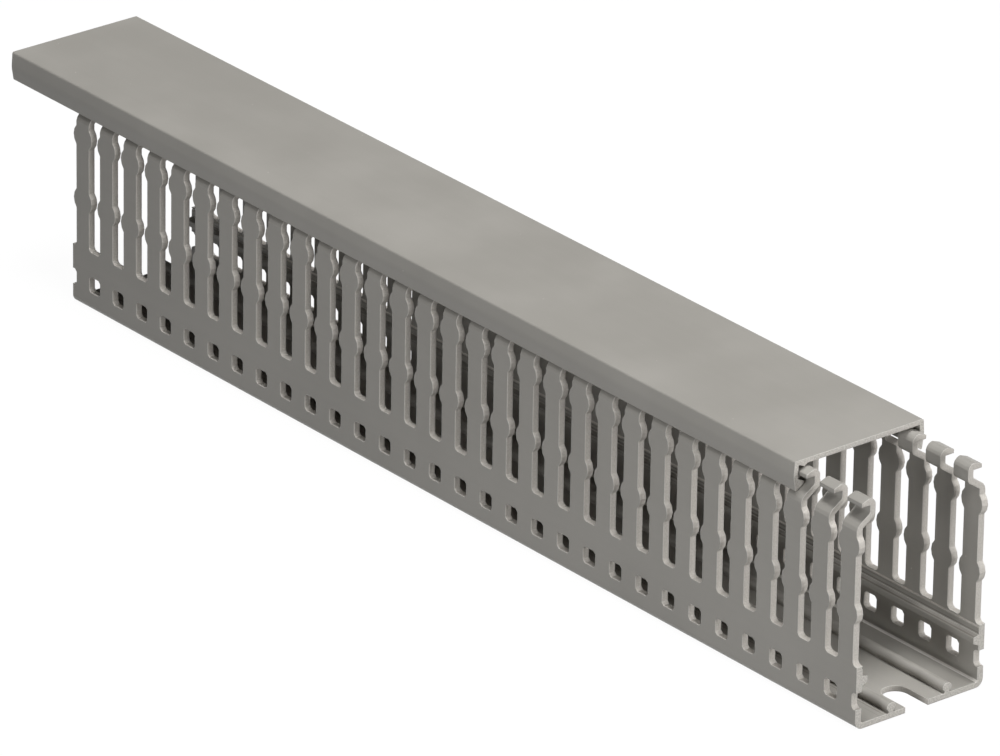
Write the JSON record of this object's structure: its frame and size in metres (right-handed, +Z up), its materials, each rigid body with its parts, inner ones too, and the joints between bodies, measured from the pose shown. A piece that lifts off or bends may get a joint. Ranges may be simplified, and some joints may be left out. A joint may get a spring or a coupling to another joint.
{
  "type": "slotted wire duct",
  "caption": "Straight rectangular wiring channel with open finger slots along both walls, a slotted floor and a sliding press-on cover.",
  "frame": {"origin": "middle of the channel's flat underside, half way along its length and width", "axes": "+X along the duct towards the end left open by the slid cover, +Y across the duct, +Z up from the floor to the cover"},
  "size_m": [0.3342, 0.0406, 0.061],
  "materials": {
    "channel_pvc": "matte",
    "cover_pvc": "matte"
  },
  "bodies": {
    "channel": {"channel": "channel_pvc"},
    "cover": {"cover": "cover_pvc"}
  },
  "joints": [
    {"name": "cover_slide", "type": "slide", "parent": "channel", "child": "cover", "axis": [1, 0, 0], "range_m": [-0.29, 0.025]}
  ]
}
